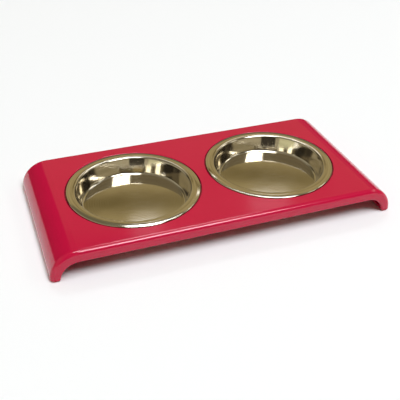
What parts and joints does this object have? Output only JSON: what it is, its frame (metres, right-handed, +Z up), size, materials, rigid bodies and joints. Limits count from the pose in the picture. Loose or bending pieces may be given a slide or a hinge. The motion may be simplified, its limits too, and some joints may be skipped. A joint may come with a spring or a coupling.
{
  "type": "double pet bowl",
  "caption": "Low glossy moulded stand with rolled-down ends that carries shallow lift-out steel dishes side by side for a pet's food and water.",
  "frame": {"origin": "on the floor under the middle of the stand", "axes": "+X along the stand from the left dish to the right dish, +Y to the back, +Z up"},
  "size_m": [0.364, 0.175, 0.0307],
  "materials": {
    "red_melamine": "gloss",
    "polished_steel": "polished",
    "foot_rubber": "matte"
  },
  "bodies": {
    "stand": {"stand": "red_melamine", "foot_front_left": "foot_rubber", "foot_front_right": "foot_rubber", "foot_back_left": "foot_rubber", "foot_back_right": "foot_rubber"},
    "bowl_left": {"bowl_left": "polished_steel"},
    "bowl_right": {"bowl_right": "polished_steel"}
  },
  "joints": [
    {"name": "bowl_left_lift", "type": "slide", "parent": "stand", "child": "bowl_left", "axis": [0, 0, 1], "range_m": [0, 0.08]},
    {"name": "bowl_right_lift", "type": "slide", "parent": "stand", "child": "bowl_right", "axis": [0, 0, 1], "range_m": [0, 0.08]}
  ]
}
